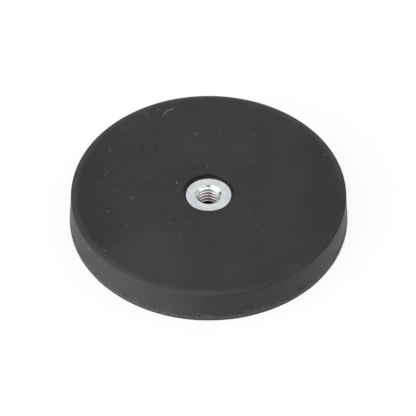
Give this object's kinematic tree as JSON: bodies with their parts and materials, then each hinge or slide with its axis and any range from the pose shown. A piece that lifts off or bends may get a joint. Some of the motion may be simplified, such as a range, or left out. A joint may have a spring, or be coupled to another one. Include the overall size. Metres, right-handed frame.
{
  "type": "pot magnet",
  "caption": "Flat round rubber-coated pot magnet with a threaded steel bush recessed in the centre of its top.",
  "frame": {"origin": "centre of the magnet face, at the foot of the rubber jacket", "axes": "+Z along the thread's axis, out of the bush's mouth and away from what the magnet grips; X through the first magnet of each ring"},
  "size_m": [0.066, 0.066, 0.0085],
  "materials": {
    "black_rubber": "moulded, satin matt",
    "zinc_plated_steel": "turned and bright zinc-plated",
    "stamped_steel": "rolled sheet, stamped, bare",
    "nickel_plated_magnet": "nickel-plated, bright satin"
  },
  "bodies": {
    "root": {"inner_magnet_01": "nickel_plated_magnet", "inner_magnet_02": "nickel_plated_magnet", "inner_magnet_03": "nickel_plated_magnet", "inner_magnet_04": "nickel_plated_magnet", "inner_magnet_05": "nickel_plated_magnet", "inner_magnet_06": "nickel_plated_magnet", "outer_magnet_01": "nickel_plated_magnet", "outer_magnet_02": "nickel_plated_magnet", "outer_magnet_03": "nickel_plated_magnet", "outer_magnet_04": "nickel_plated_magnet", "outer_magnet_05": "nickel_plated_magnet", "outer_magnet_06": "nickel_plated_magnet", "outer_magnet_07": "nickel_plated_magnet", "outer_magnet_08": "nickel_plated_magnet", "outer_magnet_09": "nickel_plated_magnet", "outer_magnet_10": "nickel_plated_magnet", "outer_magnet_11": "nickel_plated_magnet", "outer_magnet_12": "nickel_plated_magnet", "rubber_jacket": "black_rubber", "steel_plate": "stamped_steel", "threaded_bush": "zinc_plated_steel"}
  },
  "joints": []
}
